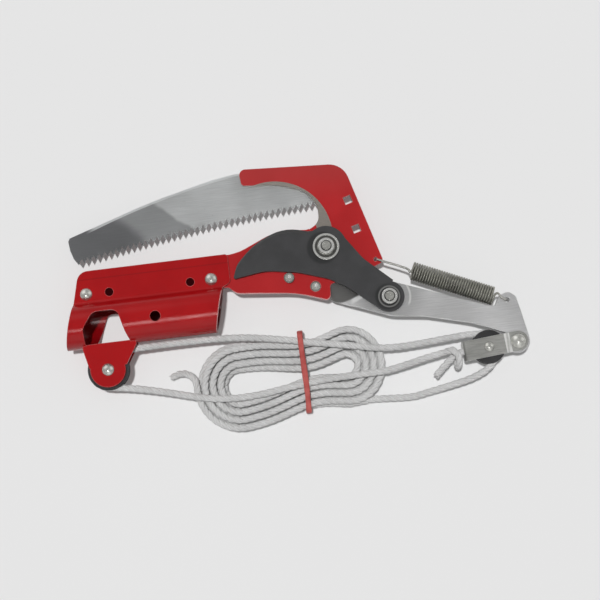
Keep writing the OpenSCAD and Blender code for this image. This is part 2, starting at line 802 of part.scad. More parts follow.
module rope_tail() {
    color([0.78, 0.78, 0.76])
        tube(concat([hank_out], smooth(tail_points, 2)), rope_r, 8);
}

// Rubber tie round the waist of the hank and the two stretches that pass through it
tie_low = -75.9;
tie_high = -21.6;
tie_up = over_hank + rope_r + 0.3;
tie_inner = [[tie_low, table + tie_t, 3], [tie_high, table + tie_t, 3], [tie_high, -4, 4], [-23.8, tie_up, 3],
    [-60, tie_up, 6], [tie_low, -4, 5]];
tie_outer = [[tie_low - tie_t, table, 4], [tie_high + tie_t, table, 4], [tie_high + tie_t, -3.6, 6],
    [-23.2, tie_up + tie_t, 4], [-60.4, tie_up + tie_t, 7], [tie_low - tie_t, -3.4, 6]];

module hank_tie() {
    color([0.65, 0.36, 0.35])
        translate([split_x - tie_w / 2, 0, 0])
            rotate([90, 0, 90])
                linear_extrude(tie_w)
                    difference() {
                        polygon(outline(tie_outer));
                        polygon(outline(tie_inner));
                    }
}

pole_socket();
socket_rivet_left();
socket_rivet_right();
socket_axle();
socket_sheave();
hook_body();
stop_pin();
strip_rivet();
saw_blade();
saw_screw_tip();
saw_screw_heel();
cutter_blade();
lever();
pivot_bolt();
pivot_nut();
pivot_washer_front();
pivot_washer_rear();
link_bolt();
link_nut();
return_spring();
block_strap();
block_sheave();
block_axle();
swivel_rivet();
rope_hank();
rope_socket_bight();
rope_block_bight();
rope_becket_run();
rope_knot();
rope_bitter_end();
rope_tail();
hank_tie();
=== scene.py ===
"""Looks of a rope-driven tree pruner head with a saw, two pulleys and a packed rope."""

import math

import bpy
import numpy as np
from mathutils import Matrix, Vector


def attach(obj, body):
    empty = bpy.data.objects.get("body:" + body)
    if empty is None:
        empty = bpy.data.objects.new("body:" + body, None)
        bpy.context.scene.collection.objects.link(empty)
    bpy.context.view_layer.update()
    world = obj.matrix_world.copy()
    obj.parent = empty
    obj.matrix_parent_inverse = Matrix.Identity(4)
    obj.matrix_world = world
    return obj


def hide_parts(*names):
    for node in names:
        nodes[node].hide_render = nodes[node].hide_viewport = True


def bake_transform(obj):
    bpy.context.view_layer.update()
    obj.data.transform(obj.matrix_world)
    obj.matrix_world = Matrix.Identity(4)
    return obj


MM = 0.001
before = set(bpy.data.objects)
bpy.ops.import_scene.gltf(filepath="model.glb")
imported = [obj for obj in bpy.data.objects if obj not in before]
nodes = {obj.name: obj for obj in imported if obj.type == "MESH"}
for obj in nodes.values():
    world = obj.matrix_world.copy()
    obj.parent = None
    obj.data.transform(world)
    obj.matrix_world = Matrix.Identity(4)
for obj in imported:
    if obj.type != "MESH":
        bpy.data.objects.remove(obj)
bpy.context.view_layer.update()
scene = bpy.context.scene
scene.view_settings.view_transform = "Standard"

# Middles of bolts, axles, hooks, rivets, holes and the hook's mouth, as in the part's source, in metres
PIVOT = (0.1788, 0.0335)
LINK = (0.2172, -0.0054)
SOCKET_AXLE = (0.0224, -0.0315)
BLOCK_AXLE = (0.27996, -0.04739)
SPRING_FOOT = (0.2116, 0.0213)
SPRING_EAR = (0.2966, -0.0172)
FLUSH_RIVETS = ((0.1513, 0.0156), (0.1686, 0.0078))
MOUTH = (0.14, 0.05)
FLANGE_HOLES = ((0.0288, 0.021), (0.0842, 0.021))
# The saw's back edge in plan, as y = a + b x + c x x
BACK_EDGE = (0.05821, 0.4042, -1.034)
# Lowest height of the part, where it meets the table
TABLE = -0.0155

# Camera: looks down on the table, a little from the photo's lower edge
ROLL = math.radians(7.0)
TILT = math.radians(5.0)
DISTANCE = 1.0
LENS = 88.1
SENSOR = 36.0
TARGET = Vector((0.1569, -0.0001, 0.002))
right = Vector((math.cos(ROLL), -math.sin(ROLL), 0))
ahead = Vector((math.sin(ROLL), math.cos(ROLL), 0))
upward = Vector((0, 0, 1))
back = upward * math.cos(TILT) - ahead * math.sin(TILT)
image_up = ahead * math.cos(TILT) + upward * math.sin(TILT)
camera = bpy.data.objects.new("camera", bpy.data.cameras.new("camera"))
camera.data.lens = LENS
camera.data.sensor_width = SENSOR
camera.data.clip_start = 0.01
camera.data.clip_end = 20
turned = Matrix((right, image_up, back)).transposed().to_4x4()
camera.matrix_world = Matrix.Translation(TARGET + back * DISTANCE) @ turned
scene.collection.objects.link(camera)
scene.camera = camera


# Node helpers
def put(tree, kind, inputs=None, **settings):
    """Adds a shader node. An input is a constant, or another node's output socket."""
    made = tree.nodes.new(kind)
    for key, value in settings.items():
        setattr(made, key, value)
    for key, value in (inputs or {}).items():
        if isinstance(value, bpy.types.NodeSocket):
            tree.links.new(value, made.inputs[key])
        else:
            made.inputs[key].default_value = value
    return made


def math_node(tree, operation, a, b=0.0):
    return put(tree, "ShaderNodeMath", {0: a, 1: b}, operation=operation).outputs[0]


def times(tree, a, b):
    return math_node(tree, "MULTIPLY", a, b)


def plus(tree, a, b):
    return math_node(tree, "ADD", a, b)


def minus(tree, a, b):
    return math_node(tree, "SUBTRACT", a, b)


def ramp(tree, value, low, high, to_low=0.0, to_high=1.0):
    """A smooth step from to_low at low to to_high at high."""
    made = put(
        tree,
        "ShaderNodeMapRange",
        {"Value": value, "From Min": low, "From Max": high, "To Min": to_low, "To Max": to_high},
        interpolation_type="SMOOTHSTEP",
    )
    return made.outputs["Result"]


def between(tree, value, low, full, fading, high):
    """A smooth window: 0 up to low, 1 from full to fading, and 0 again from high."""
    return times(tree, ramp(tree, value, low, full), ramp(tree, value, high, fading))


def mix(tree, share, a, b):
    made = put(tree, "ShaderNodeMix", data_type="RGBA")
    for index, value in ((0, share), (6, a), (7, b)):
        if isinstance(value, bpy.types.NodeSocket):
            tree.links.new(value, made.inputs[index])
        else:
            made.inputs[index].default_value = value
    return made.outputs[2]


def noise(tree, where, scale, detail=2.0, rough=0.5):
    made = put(
        tree,
        "ShaderNodeTexNoise",
        {"Vector": where, "Scale": scale, "Detail": detail, "Roughness": rough},
    )
    return made.outputs["Fac"]


def tone(r, g, b):
    """An sRGB colour of 0 to 255 as a linear colour."""
    parts = [c / 255 for c in (r, g, b)]
    return tuple(c / 12.92 if c <= 0.04045 else ((c + 0.055) / 1.055) ** 2.4 for c in parts) + (1.0,)


def stain(tree, colour, share, amount, shade):
    """A colour with an sRGB shade laid over it, by a share times an amount."""
    return mix(tree, times(tree, share, amount), colour, tone(*shade))


def plan(tree, where):
    """The x and y of a point."""
    parts = put(tree, "ShaderNodeSeparateXYZ", {0: where})
    return parts.outputs["X"], parts.outputs["Y"]


def start(name):
    """A new material with a Principled shader, and its object coordinates."""
    made = bpy.data.materials.new(name)
    made.use_nodes = True
    tree = made.node_tree
    tree.nodes.clear()
    shader = put(tree, "ShaderNodeBsdfPrincipled")
    out = put(tree, "ShaderNodeOutputMaterial")
    tree.links.new(shader.outputs[0], out.inputs["Surface"])
    where = put(tree, "ShaderNodeTexCoord").outputs["Object"]
    return made, tree, shader, where


def stretched(tree, where, turn, scale):
    """Coordinates turned about Z and scaled, for grain in one direction."""
    made = put(tree, "ShaderNodeMapping", {"Vector": where, "Rotation": (0, 0, turn), "Scale": scale})
    return made.outputs["Vector"]


def soft_edges(tree, radius):
    """Rounded shading at sharp edges, and how near an edge each point is."""
    rounded = put(tree, "ShaderNodeBevel", {"Radius": radius}, samples=6).outputs["Normal"]
    plain = put(tree, "ShaderNodeNewGeometry").outputs["True Normal"]
    same = put(tree, "ShaderNodeVectorMath", {0: rounded, 1: plain}, operation="DOT_PRODUCT")
    edge = ramp(tree, same.outputs["Value"], 0.998, 0.88)
    return rounded, edge


def bump(tree, height, normal, strength, distance):
    made = put(
        tree,
        "ShaderNodeBump",
        {"Height": height, "Normal": normal, "Strength": strength, "Distance": distance},
    )
    return made.outputs["Normal"]


def from_axis(tree, where, at):
    """Distance in plan from an upright axis."""
    flat = put(tree, "ShaderNodeVectorMath", {0: where, 1: (1, 1, 0)}, operation="MULTIPLY").outputs[0]
    made = put(tree, "ShaderNodeVectorMath", {0: flat, 1: (at[0], at[1], 0)}, operation="DISTANCE")
    return made.outputs["Value"]


# How level a face is, from 0 for an upright wall to 1 for a flat face
WALL, SLANT, LESS_SLANT, FLAT = 0.12, 0.2, 0.97, 0.985


def slope(tree):
    """1 on flat faces, 0 on upright walls."""
    plain = put(tree, "ShaderNodeNewGeometry").outputs["True Normal"]
    local = put(
        tree,
        "ShaderNodeVectorTransform",
        {"Vector": plain},
        vector_type="NORMAL",
        convert_from="WORLD",
        convert_to="OBJECT",
    )
    up = put(tree, "ShaderNodeSeparateXYZ", {0: local.outputs[0]}).outputs["Z"]
    return math_node(tree, "ABSOLUTE", up)


def ground_face(tree):
    """1 on slanted ground faces, 0 on flat faces and upright walls."""
    return between(tree, slope(tree), WALL, SLANT, LESS_SLANT, FLAT)


# Limits of the tints on paint, most of them painted shade or painted highlights, in metres: where one
# begins and is full, and where a line fades and ends
HOLE_FLOOR = (0.0029, 0.0026)
BORE = (0.0142, 0.0137)
FOLD = (0.0304, 0.0312, 0.0313, 0.0318)
TUBE_END = (0.096, 0.098)
TUBE_SIDE = (0.013, 0.011)
HOOK_TOP = (0.06, 0.092)
MOUTH_WALL = (0.0398, 0.0392)
MOUTH_FOOT = (0.045, 0.046)
# The hook's lower edge falls by this much along x, and its limits are heights above that fall
HOOK_FALL = 0.18
HOOK_UNDER = (0.033, 0.031)


def paint(name, deep, bright, worn, extra):
    """Glossy enamel on steel: orange peel, faint scuffs, chipped edges, a pale line along every edge
    that is partly worn enamel and partly a painted highlight, and flange holes painted dark as painted
    shade.
    """
    made, tree, shader, where = start(name)
    rounded, edge = soft_edges(tree, 0.0009)
    cloud = ramp(tree, noise(tree, where, 38.0, 3.0, 0.5), 0.25, 0.75)
    colour = mix(tree, cloud, deep, bright)
    scratches = noise(tree, stretched(tree, where, 0.35, (60, 900, 60)), 1.0, 4.0, 0.7)
    scuffs = ramp(tree, scratches, 0.66, 0.8)
    colour = mix(tree, times(tree, scuffs, 0.12), colour, worn)
    chips = ramp(tree, noise(tree, where, 300.0, 3.0, 0.7), 0.36, 0.6)
    edge_wear = times(tree, times(tree, edge, chips), 0.6)
    colour = mix(tree, edge_wear, colour, worn)
    # Pale line along every edge: partly worn enamel, partly a painted highlight
    colour = stain(tree, colour, edge, 0.25, (222, 132, 130))
    colour, metal = extra(tree, where, colour)
    gloss = 0.35
    # Painted shade: the floor of each flange hole painted dark
    for at in FLANGE_HOLES:
        floor = ramp(tree, from_axis(tree, where, at), *HOLE_FLOOR, 0.0, 0.95)
        colour = mix(tree, floor, colour, tone(22, 4, 6))
        gloss = times(tree, minus(tree, 1.0, floor), gloss)
    rough = ramp(tree, noise(tree, where, 130.0, 3.0), 0.2, 0.8, 0.14, 0.26)
    peel = bump(tree, noise(tree, where, 700.0, 2.0), rounded, 0.12, 0.0002)
    if metal is not None:
        tree.links.new(metal, shader.inputs["Metallic"])
        rough = plus(tree, rough, metal)
    tree.links.new(colour, shader.inputs["Base Color"])
    tree.links.new(rough, shader.inputs["Roughness"])
    tree.links.new(peel, shader.inputs["Normal"])
    tree.links.new(gloss, shader.inputs["Specular IOR Level"])
    return made


def edge_highlight_line(tree, colour, zone):
    """A painted highlight: a pale line along the painted edges in a zone."""
    edge = soft_edges(tree, 0.0014)[1]
    return mix(tree, times(tree, edge, zone), colour, tone(238, 208, 206))


def socket_tint(tree, where, colour):
    """Painted shade inside the tube and along the flange's fold, and a painted highlight as a pale line
    at the tube's end.
    """
    across = put(tree, "ShaderNodeVectorMath", {0: where, 1: (0, 1, 1)}, operation="MULTIPLY").outputs[0]
    radius = put(tree, "ShaderNodeVectorMath", {0: across}, operation="LENGTH").outputs["Value"]
    # Painted shade: darker inside the tube's bore
    colour = mix(tree, ramp(tree, radius, *BORE, 0.0, 0.6), colour, tone(84, 10, 15))
    x, y = plan(tree, where)
    # Painted shade: a dark line along the flange's fold
    colour = stain(tree, colour, between(tree, y, *FOLD), 0.4, (104, 4, 8))
    # Painted highlight: a pale line at the tube's end
    end = times(tree, ramp(tree, x, *TUBE_END), ramp(tree, y, *TUBE_SIDE, 0.0, 0.7))
    return edge_highlight_line(tree, colour, end), None


def hook_tint(tree, where, colour):
    """Bare ground steel in the mouth, a painted highlight as a paler top, and a painted highlight as a
    pale line along the lower edge.
    """
    face = ground_face(tree)
    lines = noise(tree, stretched(tree, where, 0.9, (300, 2600, 300)), 1.0, 3.0, 0.6)
    bare = mix(tree, lines, tone(122, 116, 109), tone(150, 144, 137))
    x, y = plan(tree, where)
    # Painted highlight: the hook paler towards its top
    colour = mix(tree, ramp(tree, y, *HOOK_TOP, 0.0, 0.5), colour, tone(168, 62, 61))
    colour = mix(tree, face, colour, bare)
    inside = ramp(tree, from_axis(tree, where, MOUTH), *MOUTH_WALL)
    wall = times(tree, inside, ramp(tree, y, *MOUTH_FOOT))
    wall = times(tree, wall, ramp(tree, slope(tree), SLANT, WALL))
    colour = mix(tree, wall, colour, tone(206, 204, 200))
    # Painted highlight: a pale line along the lower edge
    under = plus(tree, times(tree, x, HOOK_FALL), y)
    colour = edge_highlight_line(tree, colour, ramp(tree, under, *HOOK_UNDER, 0.0, 0.75))
    return colour, times(tree, math_node(tree, "MAXIMUM", face, wall), 0.3)


def steel(name, dark, light, turn, grain=(60, 1500, 60), rough=(0.28, 0.44), metal=0.9, extra=None):
    """Brushed or rolled bare steel with grain in one direction, and painted highlights along the edges.
    """
    made, tree, shader, where = start(name)
    rounded, edge = soft_edges(tree, 0.0004)
    lines = noise(tree, stretched(tree, where, turn, grain), 1.0, 4.0, 0.65)
    cloud = noise(tree, where, 30.0, 3.0, 0.5)
    both = plus(tree, times(tree, lines, 0.6), times(tree, cloud, 0.4))
    colour = mix(tree, ramp(tree, both, 0.3, 0.7), dark, light)
    specks = ramp(tree, noise(tree, where, 620.0, 4.0, 0.75), 0.66, 0.74)
    colour = stain(tree, colour, specks, 0.45, (70, 68, 64))
    height = lines
    if extra:
        colour, height = extra(tree, where, colour, height)
    # Painted highlight: a pale line along the edges
    colour = stain(tree, colour, edge, 0.5, (226, 226, 224))
    tree.links.new(colour, shader.inputs["Base Color"])
    tree.links.new(ramp(tree, cloud, 0.25, 0.75, rough[0], rough[1]), shader.inputs["Roughness"])
    tree.links.new(bump(tree, height, rounded, 0.25, 0.00015), shader.inputs["Normal"])
    shader.inputs["Metallic"].default_value = metal
    return made


def plastic(name, dark, light):
    """Moulded plastic with a fine grain and rubbed edges."""
    made, tree, shader, where = start(name)
    rounded, edge = soft_edges(tree, 0.0005)
    grain = noise(tree, where, 1100.0, 3.0, 0.6)
    cloud = noise(tree, where, 90.0, 3.0)
    colour = mix(tree, ramp(tree, cloud, 0.3, 0.7), dark, light)
    colour = stain(tree, colour, edge, 0.35, (120, 120, 120))
    tree.links.new(colour, shader.inputs["Base Color"])
    tree.links.new(ramp(tree, grain, 0.3, 0.7, 0.38, 0.55), shader.inputs["Roughness"])
    tree.links.new(bump(tree, grain, rounded, 0.3, 0.0001), shader.inputs["Normal"])
    return made


# Painted shadows round the nuts, as dark discs set off to one side: a middle and a radius. Seats of the
# nuts, painted dark as painted shade with a pale painted highlight ring: a bolt and two radii.
NUT_SHADOWS = (((PIVOT[0] - 0.0022, PIVOT[1] - 0.0004), 0.0112), ((LINK[0] - 0.0008, LINK[1]), 0.0092))
SEATS = ((PIVOT, 0.0074, 0.0098), (LINK, 0.0062, 0.0084))


def black_coat(name):
    """Satin black finish with a ground cutting edge, painted shadows as dark dishes round the two nuts,
    and seats with painted shade and a pale painted highlight ring.
    """
    made, tree, shader, where = start(name)
    rounded, edge = soft_edges(tree, 0.0005)
    cloud = noise(tree, where, 80.0, 4.0, 0.6)
    colour = mix(tree, ramp(tree, cloud, 0.3, 0.7), tone(50, 50, 51), tone(58, 58, 59))
    face = ground_face(tree)
    lines = noise(tree, stretched(tree, where, 0.35, (250, 2400, 250)), 1.0, 3.0, 0.6)
    bare = mix(tree, lines, tone(84, 84, 84), tone(128, 128, 127))
    colour = mix(tree, times(tree, face, 0.35), colour, bare)
    scuff = ramp(tree, noise(tree, where, 500.0, 4.0, 0.75), 0.6, 0.74)
    worn = times(tree, plus(tree, times(tree, edge, 0.2), 0.05), scuff)
    colour = mix(tree, worn, colour, tone(150, 150, 148))
    height = times(tree, noise(tree, where, 1000.0, 3.0), 0.1)
    # Painted shadow: a dark disc round each nut, set off to one side
    for at, reach in NUT_SHADOWS:
        nut_shadow = ramp(tree, from_axis(tree, where, at), reach + 0.0006, reach - 0.0012)
        colour = stain(tree, colour, nut_shadow, 0.8, (27, 28, 28))
    # Painted shade in each nut's seat, a pale painted highlight ring at its inner edge, and a groove in
    # the bump at its outer edge
    for at, inner, outer in SEATS:
        away = from_axis(tree, where, at)
        seat_shade = times(tree, ramp(tree, away, outer, outer - 0.0008), 0.75)
        ring = times(tree, ramp(tree, away, outer + 0.0007, outer), seat_shade)
        colour = mix(tree, seat_shade, colour, tone(30, 30, 31))
        painted_rim = between(tree, away, inner, inner + 0.0006, inner + 0.0009, inner + 0.0016)
        colour = stain(tree, colour, painted_rim, 0.5, (148, 148, 146))
        height = minus(tree, height, times(tree, ring, 0.8))
    tree.links.new(colour, shader.inputs["Base Color"])
    tree.links.new(ramp(tree, cloud, 0.25, 0.75, 0.36, 0.5), shader.inputs["Roughness"])
    tree.links.new(bump(tree, height, rounded, 0.5, 0.0005), shader.inputs["Normal"])
    tree.links.new(times(tree, face, 0.6), shader.inputs["Metallic"])
    return made


# Limits of the tints on bare steel, in metres. The saw's are along a slant for its painted reflection,
# below its back and along x.
SAW_SLANT = (0.65, 0.76)
SAW_REFLECTION_DIM = (0.1065, 0.1035)
SAW_TIP = (0.086, 0.077)
BACK_LINE = (0.0019, 0.0015)
BACK_START = (0.016, 0.024)
# The lever's are radii round the link bolt and the pivot, and lines in x
NEAR_LINK_DARKER = (0.03, 0.014)
LEVER_LOW_SHADE = (0.0398, 0.0382)
GLINT_R = (0.0388, 0.0398, 0.0415, 0.0435)
GLINT_X = (0.19, 0.1935, 0.198, 0.2025)
LINK_ARC = (0.0136, 0.0142, 0.0148, 0.0156)
# Painted highlight and painted shade rings on nuts and washers: an inner and an outer radius, a share
# and a grey
PAINTED_NUT_RINGS = (
    (0.0028, 0.0036, 0.85, 46),
    (0.0036, 0.0052, 0.6, 246),
    (0.0057, 0.0074, 0.85, 52),
    (0.0076, 0.0089, 0.5, 236),
)
RING_SOFT = 0.0003
RIVET_RIM = (0.0022, 0.0034, 0.005, 0.006)
RIVET_SPOT = (0.0016, 0.0006)
STRAP_STEP = (0.286, 0.288)
STRAP_MIDDLE = 0.2931
# The ends of the spring's wire that are its hooks, along the wire
FIRST_HOOK = (0.034, 0.032)
LAST_HOOK = (1.2185, 1.2205)


def saw_tint(tree, where, colour, height):
    """Painted reflection: the steel darker in two steps towards the saw's tip, with a pale ground line
    along the back.
    """
    x, y = plan(tree, where)
    slant = plus(tree, times(tree, x, SAW_SLANT[0]), times(tree, y, SAW_SLANT[1]))
    slant = plus(tree, slant, times(tree, noise(tree, where, 60.0, 2.0), 0.006))
    # Painted reflection: darker in two steps towards the tip
    colour = mix(tree, ramp(tree, slant, *SAW_REFLECTION_DIM, 0.0, 0.6), colour, tone(120, 121, 123))
    colour = mix(tree, ramp(tree, slant, *SAW_TIP, 0.0, 0.6), colour, tone(84, 84, 87))
    bent = times(tree, times(tree, x, x), BACK_EDGE[2])
    edge = plus(tree, times(tree, x, BACK_EDGE[1]), bent)
    below = minus(tree, plus(tree, edge, BACK_EDGE[0]), y)
    line = times(tree, ramp(tree, below, *BACK_LINE), ramp(tree, x, *BACK_START))
    colour = stain(tree, colour, line, 0.75, (236, 238, 238))
    return colour, minus(tree, height, times(tree, line, 0.5))


def lever_tint(tree, where, colour, height):
    """Painted shade on the low part behind the hook, a painted glint past the step, a painted highlight
    as an arc by the link bolt, and darker steel towards the link bolt.
    """
    x, y = plan(tree, where)
    from_pivot = from_axis(tree, where, PIVOT)
    from_link = from_axis(tree, where, LINK)
    # Darker towards the link bolt
    colour = stain(tree, colour, ramp(tree, from_link, *NEAR_LINK_DARKER), 0.3, (110, 110, 110))
    # Painted shade: the low part behind the hook dark
    colour = stain(tree, colour, ramp(tree, from_pivot, *LEVER_LOW_SHADE), 0.85, (84, 83, 80))
    # Painted highlight: a glint past the step
    glint = times(tree, between(tree, from_pivot, *GLINT_R), between(tree, x, *GLINT_X))
    colour = stain(tree, colour, glint, 0.85, (250, 250, 249))
    # Painted highlight: a bright arc by the link bolt
    painted_rim = between(tree, from_link, *LINK_ARC)
    painted_rim = times(tree, painted_rim, ramp(tree, x, LINK[0] + 0.008, LINK[0] + 0.012))
    painted_rim = times(tree, painted_rim, ramp(tree, y, LINK[1] - 0.008, LINK[1] - 0.005))
    return stain(tree, colour, painted_rim, 0.8, (240, 240, 238)), height


def zinc_tint(tree, where, colour, height):
    """Painted highlight rings and painted shade lines on nuts and washers, and on the flush rivets a
    painted shade rim with a painted highlight spot.
    """
    # Painted highlights and painted shade in rings round the pivot and link bolts
    for at in (PIVOT, LINK):
        away = from_axis(tree, where, at)
        for inner, outer, share, grey in PAINTED_NUT_RINGS:
            ring = between(tree, away, inner, inner + RING_SOFT, outer, outer + RING_SOFT)
            colour = stain(tree, colour, ring, share, (grey, grey, grey - 2))
    for at in FLUSH_RIVETS:
        # Painted shade: a dark rim round each flush rivet
        painted_rim = between(tree, from_axis(tree, where, at), *RIVET_RIM)
        colour = stain(tree, colour, painted_rim, 0.75, (92, 88, 80))
        # Painted highlight: a bright spot set off to one side of each rivet
        lit = (at[0] + 0.0004, at[1] + 0.0008)
        spot = ramp(tree, from_axis(tree, where, lit), *RIVET_SPOT)
        colour = mix(tree, spot, colour, tone(250, 250, 246))
    return colour, height


def strap_tint(tree, where, colour, height):
    """Two painted highlight lines on the strap's slanted step."""
    x, _ = plan(tree, where)
    # Painted highlight: two bright lines across the step
    step = times(tree, ground_face(tree), ramp(tree, x, *STRAP_STEP))
    off_middle = math_node(tree, "ABSOLUTE", minus(tree, x, STRAP_MIDDLE))
    step = times(tree, step, ramp(tree, off_middle, 0.0002, 0.0011, 0.3, 1.0))
    return stain(tree, colour, step, 0.8, (244, 244, 242)), height


def laid_place(tree):
    """How far along a rope or wire a point is, in metres, and how far round a strand."""
    return plan(tree, put(tree, "ShaderNodeUVMap", uv_map="lay").outputs["UV"])


def spring_tint(tree, where, colour, height):
    """Brighter wire on the spring's two hooks than on its coil."""
    along, _ = laid_place(tree)
    first, last = ramp(tree, along, *FIRST_HOOK), ramp(tree, along, *LAST_HOOK)
    hooks = math_node(tree, "MAXIMUM", first, last)
    return stain(tree, colour, hooks, 0.75, (196, 195, 190)), height


# Yarns met on the way round one strand, and on the way along a metre of rope
YARNS = 9.0
YARN_TWIST = 620.0


def rope_material(name):
    """Pale twisted cord: each strand is laid up from fine yarns, with painted shade as grey stripes
    along the middle of each strand's outer side.
    """
    made, tree, shader, where = start(name)
    along, around = laid_place(tree)
    turn = plus(tree, times(tree, around, YARNS), times(tree, along, YARN_TWIST))
    wave = math_node(tree, "SINE", times(tree, turn, 2 * math.pi))
    yarn = ramp(tree, wave, -1.0, 1.0)
    fuzz = noise(tree, where, 1900.0, 3.0, 0.7)
    cloud = noise(tree, where, 60.0, 3.0, 0.6)
    colour = mix(tree, ramp(tree, cloud, 0.3, 0.7), tone(212, 212, 212), tone(231, 231, 231))
    colour = mix(tree, ramp(tree, yarn, 0.35, 0.0, 0.0, 0.45), colour, tone(190, 190, 188))
    # Painted shade: darker along the middle of each strand's outer side, as grey stripes
    outward = math_node(tree, "ABSOLUTE", minus(tree, around, 0.5))
    colour = mix(tree, ramp(tree, outward, 0.26, 0.14, 0.0, 0.35), colour, tone(172, 171, 169))
    height = plus(tree, times(tree, yarn, 0.7), times(tree, fuzz, 0.5))
    plain = put(tree, "ShaderNodeNewGeometry").outputs["Normal"]
    tree.links.new(colour, shader.inputs["Base Color"])
    tree.links.new(bump(tree, height, plain, 0.6, 0.00025), shader.inputs["Normal"])
    tree.links.new(ramp(tree, fuzz, 0.3, 0.7, 0.62, 0.85), shader.inputs["Roughness"])
    shader.inputs["Sheen Weight"].default_value = 0.25
    shader.inputs["Sheen Roughness"].default_value = 0.5
    return made


def rubber(name):
    """Soft dull rubber with fine lines across the band."""
    made, tree, shader, where = start(name)
    cloud = noise(tree, where, 140.0, 4.0, 0.6)
    fine = noise(tree, stretched(tree, where, 0.0, (1500, 120, 1500)), 1.0, 3.0)
    colour = mix(tree, ramp(tree, cloud, 0.3, 0.7), tone(166, 74, 70), tone(188, 96, 91))
    plain = put(tree, "ShaderNodeNewGeometry").outputs["Normal"]
    tree.links.new(colour, shader.inputs["Base Color"])
    tree.links.new(ramp(tree, fine, 0.3, 0.7, 0.5, 0.66), shader.inputs["Roughness"])
    tree.links.new(bump(tree, fine, plain, 0.3, 0.0002), shader.inputs["Normal"])
    shader.inputs["Subsurface Weight"].default_value = 0.08
    shader.inputs["Subsurface Radius"].default_value = (0.002, 0.0008, 0.0006)
    return made


looks = {
    "red_paint": paint(
        "red enamel", tone(154, 2, 8), tone(165, 6, 12), tone(205, 120, 118), socket_tint
    ),
    "hook_red": paint(
        "hook enamel", tone(165, 26, 29), tone(176, 34, 37), tone(214, 136, 134), hook_tint
    ),
    "saw_steel": steel(
        "saw steel", tone(196, 198, 198), tone(216, 218, 218), -0.2, extra=saw_tint
    ),
    "black_coat": black_coat("black blade"),
    "lever_steel": steel(
        "lever steel", tone(206, 206, 206), tone(228, 228, 228), 0.45, extra=lever_tint
    ),
    "zinc": steel(
        "zinc plate",
        tone(176, 176, 170),
        tone(222, 222, 216),
        0.3,
        (200, 500, 200),
        (0.16, 0.3),
        extra=zinc_tint,
    ),
    "spring_wire": steel(
        "spring wire",
        tone(108, 107, 99),
        tone(162, 161, 151),
        0.4,
        (300, 300, 300),
        (0.24, 0.38),
        extra=spring_tint,
    ),
    "strap_steel": steel(
        "strap steel",
        tone(150, 150, 146),
        tone(188, 188, 184),
        0.1,
        (100, 1200, 100),
        extra=strap_tint,
    ),
    "black_plastic": plastic("pulley plastic", tone(34, 34, 35), tone(52, 52, 53)),
    "rope": rope_material("twisted cord"),
    "tie_rubber": rubber("tie rubber"),
}


def dress(obj, slot):
    obj.data.materials.clear()
    obj.data.materials.append(looks[slot])


NODE_SLOTS = {
    "red_paint": ["pole_socket"],
    "hook_red": ["hook_body"],
    "saw_steel": ["saw_blade"],
    "black_coat": ["cutter_blade"],
    "lever_steel": ["lever"],
    "zinc": [
        "socket_rivet_left",
        "socket_rivet_right",
        "socket_axle",
        "stop_pin",
        "strip_rivet",
        "saw_screw_tip",
        "saw_screw_heel",
        "pivot_bolt",
        "pivot_nut",
        "pivot_washer_front",
        "pivot_washer_rear",
        "link_bolt",
        "link_nut",
        "block_axle",
        "swivel_rivet",
    ],
    "strap_steel": ["block_strap"],
    "black_plastic": ["socket_sheave", "block_sheave"],
}
for slot, names in NODE_SLOTS.items():
    for name in names:
        dress(nodes[name], slot)


# Rope: one line from the knot on the block to the free cut end, in metres
ROPE_D = 5 * MM
ROPE_R = ROPE_D / 2
# Three strands that touch fill a round rope at this share of its radius, and are pressed wider than high
STRAND_R = 0.464 * ROPE_R
HELIX_R = ROPE_R - STRAND_R
STRAND_SIDES = 9
FLANK = 1.22
LAY = 15 * MM
# Where a run is cut in two, in x, and how close to a cut the next rings are
SPLIT_X = {"block": 0.246, "becket": 0.2165}
SEAM = 0.06 * MM
STEP = 1.1 * MM
# Hank in mm: long loops drawn in at a waist, with the runs to the pulleys over it
OVER = -0.6
HANK_AT = (145.0, -50.0)
HANK_TURN = math.radians(4)
HANK_RUN = 70.0
HANK_R = 30.0
HANK_WAIST = 7.0
WAIST_X = 13.0
WAIST_REACH = 26
WAIST_SOFT = 3
LOOP_PITCH = 5.4
LAYER = 5.5
HANK_LOW = -11.5
HANK_LEAD = 5
HANK_STEPS = 900
CLIMB_SHARE = 0.9
LOOP_LEN = 2 * HANK_RUN + 2 * math.pi * (HANK_R - 2 * LOOP_PITCH)
RUN_SHARE = HANK_RUN / LOOP_LEN
BEND_SHARE = 0.5 - RUN_SHARE
HANK_TURNS = 7 + RUN_SHARE + BEND_SHARE / 2
CLIMB_MID = 3.5 + RUN_SHARE / 2


def stadium(f, r):
    """A point on a long loop of end radius r, f of the way round."""
    half = HANK_RUN / 2
    if f < RUN_SHARE:
        return half - HANK_RUN * f / RUN_SHARE, -r
    if f < 0.5:
        a = math.radians(270 - 180 * (f - RUN_SHARE) / BEND_SHARE)
        return -half + r * math.cos(a), r * math.sin(a)
    if f < 0.5 + RUN_SHARE:
        return -half + HANK_RUN * (f - 0.5) / RUN_SHARE, r
    a = math.radians(90 - 180 * (f - 0.5 - RUN_SHARE) / BEND_SHARE)
    return half + r * math.cos(a), r * math.sin(a)


